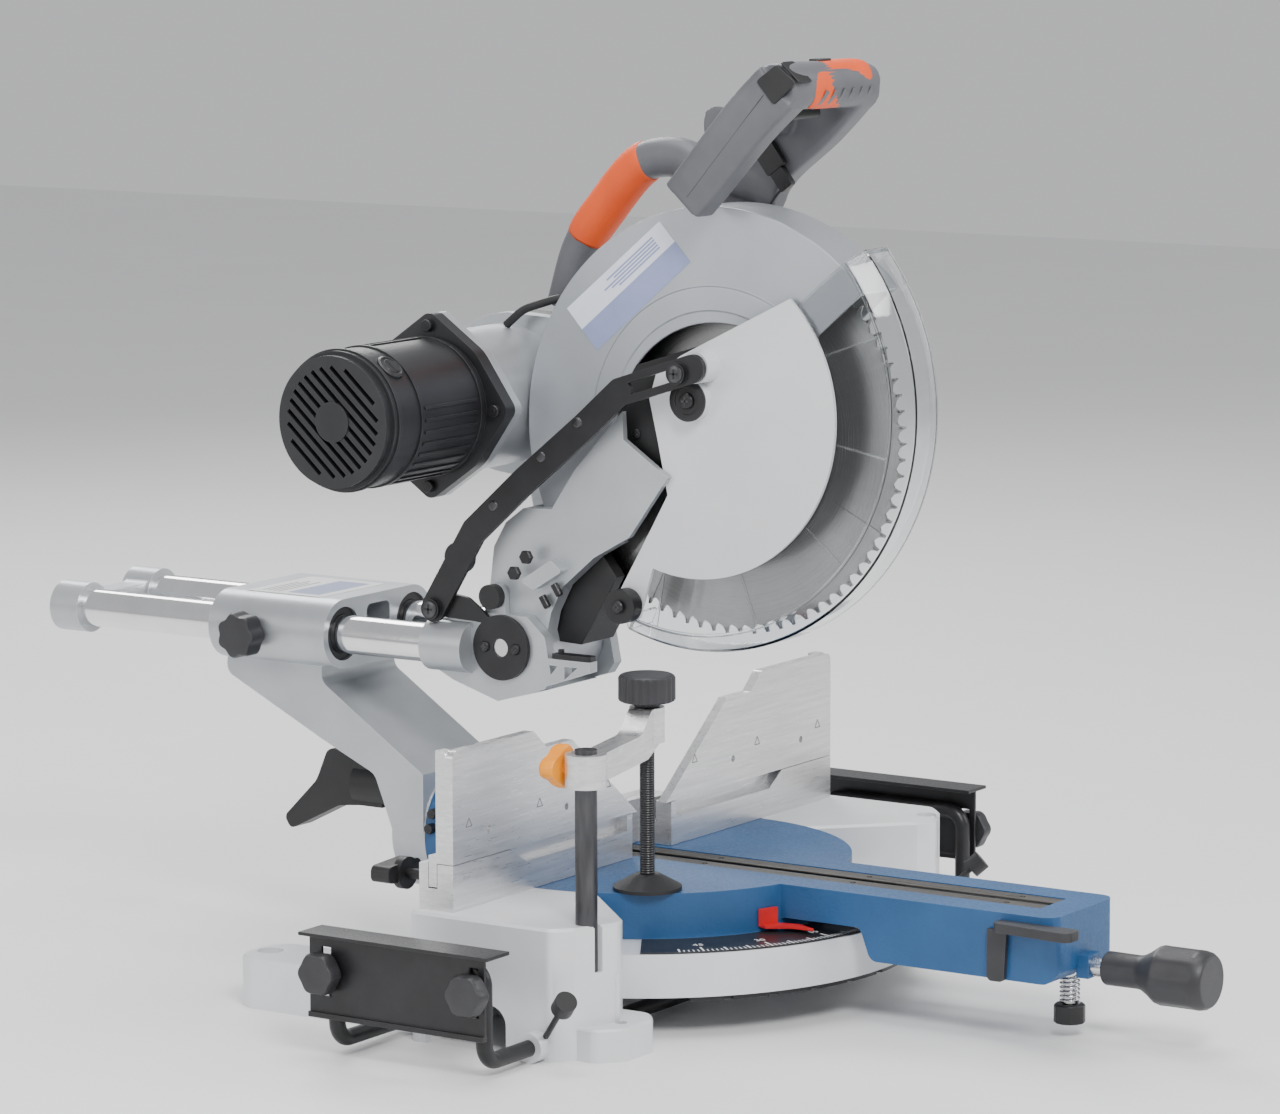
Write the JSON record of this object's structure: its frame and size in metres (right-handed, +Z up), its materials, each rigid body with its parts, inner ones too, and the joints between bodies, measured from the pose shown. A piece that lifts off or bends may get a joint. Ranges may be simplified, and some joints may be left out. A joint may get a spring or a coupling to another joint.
{
  "type": "mitre saw",
  "caption": "Bench-top sliding compound mitre saw with a raised belt-driven head, clear blade guard, twin slide rails, blue turntable, tall fences, hold-down clamp and extension supports.",
  "frame": {"origin": "the mitre pivot axis where it meets the bench", "axes": "+X to the operator's right along the fence, +Y away from the operator along the slide rails, +Z up"},
  "size_m": [0.72, 1.009, 0.7],
  "materials": {
    "base_paint": "satin light grey casting",
    "table_blue": "textured blue powder coat",
    "bare_aluminium": "machined",
    "casting_silver": "silver satin paint on a casting",
    "chrome_rail": "polished",
    "black_steel": "black oxide",
    "black_plastic": "moulded",
    "motor_plastic": "moulded dark grey",
    "handle_plastic": "moulded mid grey",
    "grip_rubber": "soft orange",
    "knob_plastic": "moulded charcoal",
    "amber_plastic": "moulded amber",
    "pointer_red": "red enamel",
    "scale_black": "black plate with white marks",
    "blade_steel": "ground steel",
    "bright_steel": "turned",
    "dark_steel": "dark drawn steel",
    "copper_armature": "wound rotor",
    "belt_rubber": "ribbed belt",
    "clear_plastic": "clear polycarbonate",
    "guard_plate": "light grey sheet",
    "bushing_plastic": "sleeve bushing",
    "insert_plastic": "kerf insert"
  },
  "bodies": {
    "base": {"base_casting": "base_paint", "fixed_fence": "bare_aluminium", "mitre_scale": "scale_black", "detent_plate": "black_steel"},
    "turntable": {"turntable": "table_blue", "kerf_inserts": "insert_plastic", "turntable_pivots": "bright_steel", "mitre_pointer": "pointer_red"},
    "mitre_knob": {"mitre_lock_knob": "knob_plastic"},
    "detent": {"detent_lever": "knob_plastic"},
    "front_foot": {"arm_foot": "black_plastic"},
    "bevel_arm": {"support_arm": "casting_silver", "rail_housing": "casting_silver", "rail_bushings": "bushing_plastic"},
    "bevel_lever": {"bevel_lock_lever": "black_plastic"},
    "slide_knob": {"slide_lock_knob": "knob_plastic"},
    "carriage": {"slide_rails": "chrome_rail", "rail_end_cap": "casting_silver", "pivot_casting": "casting_silver", "link_plate": "black_steel", "head_pivot_shaft": "bright_steel"},
    "lock_pin": {"transport_lock_pin": "black_plastic"},
    "depth_swivel": {"depth_stop_swivel": "black_steel"},
    "guard_link": {"guard_link_arm": "black_steel"},
    "head": {"head_casting": "casting_silver", "upper_guard": "casting_silver", "arbor_cover": "black_plastic", "belt_cover": "motor_plastic", "motor_housing": "motor_plastic", "drive_belt": "belt_rubber", "handle_shells": "handle_plastic", "soft_grips": "grip_rubber", "carry_handle": "handle_plastic", "motor_cable": "belt_rubber", "dust_chute": "black_plastic"},
    "spindle": {"blade_spindle": "dark_steel", "blade": "blade_steel"},
    "armature": {"motor_armature": "copper_armature"},
    "lower_guard": {"lower_guard": "clear_plastic", "guard_side_plate": "guard_plate"},
    "roller": {"guard_roller": "black_plastic"},
    "trigger": {"trigger": "black_plastic"},
    "lock_off": {"lock_off_button": "black_plastic"},
    "clamp_post": {"clamp_post": "dark_steel"},
    "clamp_arm": {"clamp_arm": "bare_aluminium"},
    "clamp_knob": {"clamp_arm_knob": "amber_plastic"},
    "clamp_pad": {"clamp_pad": "black_plastic"},
    "clamp_screw": {"clamp_screw": "black_plastic"},
    "left_fence": {"left_sliding_fence": "bare_aluminium"},
    "left_fence_lock": {"left_fence_knob": "black_plastic"},
    "left_extension": {"left_support_bar": "black_steel", "left_plate_knobs": "knob_plastic"},
    "left_plate": {"left_stop_plate": "black_steel"},
    "left_bar_lock": {"left_extension_lock": "black_plastic"},
    "right_fence": {"right_sliding_fence": "bare_aluminium"},
    "right_fence_lock": {"right_fence_knob": "black_plastic"},
    "right_extension": {"right_support_bar": "black_steel", "right_plate_knobs": "knob_plastic"},
    "right_plate": {"right_stop_plate": "black_steel"},
    "right_bar_lock": {"right_extension_lock": "black_plastic"}
  },
  "joints": [
    {"name": "mitre_turn", "type": "hinge", "parent": "base", "child": "turntable", "pos_m": [0, 0, 0.08], "axis": [0, 0, 1], "range_deg": [-45, 45]},
    {"name": "mitre_lock", "type": "hinge", "parent": "turntable", "child": "mitre_knob", "pos_m": [0, -0.44, 0.054], "axis": [0, 1, 0], "range_deg": [-45, 45]},
    {"name": "detent_press", "type": "hinge", "parent": "turntable", "child": "detent", "pos_m": [-0.05, -0.333, 0.084], "axis": [1, 0, 0], "range_deg": [0, 8], "stiffness_Nm_per_rad": 2, "springref_deg": -5.73},
    {"name": "foot_adjust", "type": "slide", "parent": "turntable", "child": "front_foot", "axis": [0, 0, 1], "range_m": [-0.0095, 0.004]},
    {"name": "bevel_tilt", "type": "hinge", "parent": "turntable", "child": "bevel_arm", "pos_m": [0, 0.19, 0.096], "axis": [0, 1, 0], "range_deg": [-19, 44]},
    {"name": "bevel_lock", "type": "hinge", "parent": "bevel_arm", "child": "bevel_lever", "pos_m": [0, 0.25, 0.122], "axis": [0, 1, 0], "range_deg": [-30, 30]},
    {"name": "slide_lock", "type": "hinge", "parent": "bevel_arm", "child": "slide_knob", "pos_m": [-0.08, 0.322, 0.246], "axis": [1, 0, 0], "range_deg": [-45, 45]},
    {"name": "carriage_slide", "type": "slide", "parent": "bevel_arm", "child": "carriage", "axis": [0, 1, 0], "range_m": [-0.13, 0.078]},
    {"name": "lock_pin_pull", "type": "slide", "parent": "carriage", "child": "lock_pin", "axis": [-1, 0, 0], "range_m": [0, 0.008]},
    {"name": "depth_stop_swing", "type": "hinge", "parent": "carriage", "child": "depth_swivel", "pos_m": [-0.043, 0.048, 0.248], "axis": [0, 0, -1], "range_deg": [0, 60]},
    {"name": "chop", "type": "hinge", "parent": "carriage", "child": "head", "pos_m": [0, 0.098, 0.251], "axis": [-1, 0, 0], "range_deg": [-48, 0], "stiffness_Nm_per_rad": 20, "springref_deg": 57.3},
    {"name": "guard_link_turn", "type": "hinge", "parent": "carriage", "child": "guard_link", "pos_m": [-0.055, 0.157, 0.277], "axis": [1, 0, 0], "range_deg": [0, 38.7]},
    {"name": "guard_open", "type": "hinge", "parent": "head", "child": "lower_guard", "pos_m": [0, -0.064, 0.448], "axis": [1, 0, 0], "range_deg": [-104.1, 0]},
    {"name": "blade_spin", "type": "hinge", "parent": "head", "child": "spindle", "pos_m": [0, -0.074, 0.423], "axis": [1, 0, 0], "continuous": true},
    {"name": "armature_spin", "type": "hinge", "parent": "head", "child": "armature", "pos_m": [0, 0.147, 0.4345], "axis": [1, 0, 0], "continuous": true},
    {"name": "roller_spin", "type": "hinge", "parent": "lower_guard", "child": "roller", "pos_m": [-0.038, -0.005, 0.29], "axis": [1, 0, 0], "continuous": true},
    {"name": "trigger_squeeze", "type": "hinge", "parent": "head", "child": "trigger", "pos_m": [0, -0.136, 0.672], "axis": [1, 0, 0], "range_deg": [-6, 0], "stiffness_Nm_per_rad": 1, "springref_deg": 17.19},
    {"name": "lock_off_press", "type": "slide", "parent": "head", "child": "lock_off", "axis": [0, 0.5, -0.866], "range_m": [0, 0.003], "stiffness_N_per_m": 300, "springref_m": -0.004},
    {"name": "left_fence_slide", "type": "slide", "parent": "base", "child": "left_fence", "axis": [1, 0, 0], "range_m": [-0.07, 0]},
    {"name": "left_fence_turn", "type": "hinge", "parent": "base", "child": "left_fence_lock", "pos_m": [-0.225, 0.04, 0.112], "axis": [0, 1, 0], "range_deg": [-90, 90]},
    {"name": "left_extend", "type": "slide", "parent": "base", "child": "left_extension", "axis": [1, 0, 0], "range_m": [-0.12, 0]},
    {"name": "left_plate_lift", "type": "slide", "parent": "left_extension", "child": "left_plate", "axis": [0, 0, 1], "range_m": [-0.001, 0.014]},
    {"name": "left_bar_lock_turn", "type": "hinge", "parent": "base", "child": "left_bar_lock", "pos_m": [-0.272, -0.093, 0.019], "axis": [-0.42, -0.63, 0.6533], "range_deg": [-180, 180]},
    {"name": "right_fence_slide", "type": "slide", "parent": "base", "child": "right_fence", "axis": [1, 0, 0], "range_m": [0, 0.07]},
    {"name": "right_fence_turn", "type": "hinge", "parent": "base", "child": "right_fence_lock", "pos_m": [0.225, 0.04, 0.112], "axis": [0, 1, 0], "range_deg": [-90, 90]},
    {"name": "right_extend", "type": "slide", "parent": "base", "child": "right_extension", "axis": [1, 0, 0], "range_m": [0, 0.12]},
    {"name": "right_plate_lift", "type": "slide", "parent": "right_extension", "child": "right_plate", "axis": [0, 0, 1], "range_m": [-0.01, 0.004]},
    {"name": "right_bar_lock_turn", "type": "hinge", "parent": "base", "child": "right_bar_lock", "pos_m": [0.272, -0.093, 0.019], "axis": [0.42, -0.63, 0.6533], "range_deg": [-180, 180]},
    {"name": "post_lift", "type": "slide", "parent": "base", "child": "clamp_post", "axis": [0, 0, 1], "range_m": [0, 0.045]},
    {"name": "arm_swing", "type": "hinge", "parent": "clamp_post", "child": "clamp_arm", "pos_m": [-0.239, -0.106, 0.207], "axis": [0, 0, 1], "range_deg": [-236, 15]},
    {"name": "arm_lock", "type": "hinge", "parent": "clamp_arm", "child": "clamp_knob", "pos_m": [-0.239, -0.08, 0.207], "axis": [0, 1, 0], "range_deg": [-90, 90]},
    {"name": "clamp_travel", "type": "slide", "parent": "clamp_arm", "child": "clamp_pad", "axis": [0, 0, 1], "range_m": [0, 0.04]},
    {"name": "clamp_turn", "type": "hinge", "parent": "clamp_pad", "child": "clamp_screw", "pos_m": [-0.116, -0.077, 0.2], "axis": [0, 0, 1], "range_deg": [0, 7200]}
  ],
  "couplings": [
    {"joint": "guard_open", "follows": "chop", "ratio": 2.166},
    {"joint": "guard_link_turn", "follows": "chop", "ratio": -0.804},
    {"joint": "armature_spin", "follows": "blade_spin", "ratio": 1.5},
    {"joint": "clamp_turn", "follows": "clamp_travel", "rad_per_m": 3141.6}
  ]
}
